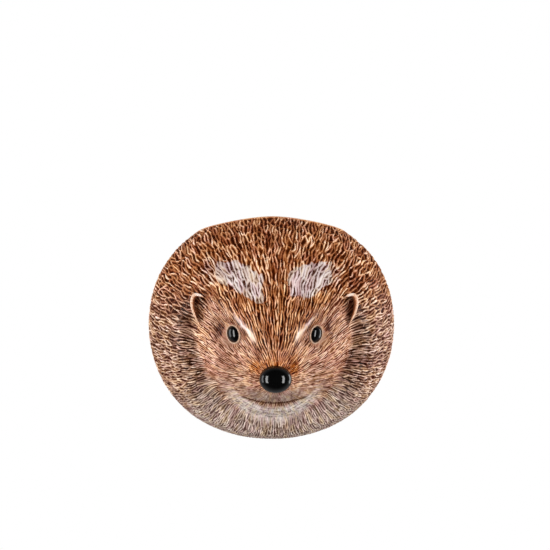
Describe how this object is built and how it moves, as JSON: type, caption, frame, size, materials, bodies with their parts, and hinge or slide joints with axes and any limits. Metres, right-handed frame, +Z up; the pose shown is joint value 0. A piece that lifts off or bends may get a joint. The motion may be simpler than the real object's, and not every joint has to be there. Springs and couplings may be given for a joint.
{
  "type": "wall vase",
  "caption": "Ceramic wall vase shaped like a curled-up hedgehog: a round hollow body, open on top, with a flat back that hangs on a hook.",
  "frame": {"origin": "centre of the hanging hole on the plane of the flat back, where the wall is", "axes": "+Y out of the flat back into the wall, so the face looks along -Y; +X to the right of someone who looks at the face, along the width; +Z up"},
  "size_m": [0.155, 0.11, 0.1394],
  "materials": {
    "spine_glaze": "gloss glaze over carved spines, brown in the grooves and cream on the ridges",
    "back_glaze": "smooth cream glaze",
    "face_glaze": "gloss glaze over finely carved fur, peach to ochre",
    "ear_glaze": "gloss glaze, cream on the rim and dark brown inside",
    "black_glaze": "glossy black glaze",
    "eyelid_glaze": "smooth pale glaze"
  },
  "bodies": {
    "root": {"body_shell": "spine_glaze", "back_wall": "back_glaze", "face": "face_glaze", "ear_left": "ear_glaze", "ear_right": "ear_glaze", "eye_left": "black_glaze", "eye_right": "black_glaze", "eyelid_left": "eyelid_glaze", "eyelid_right": "eyelid_glaze", "nose": "black_glaze"}
  },
  "joints": []
}
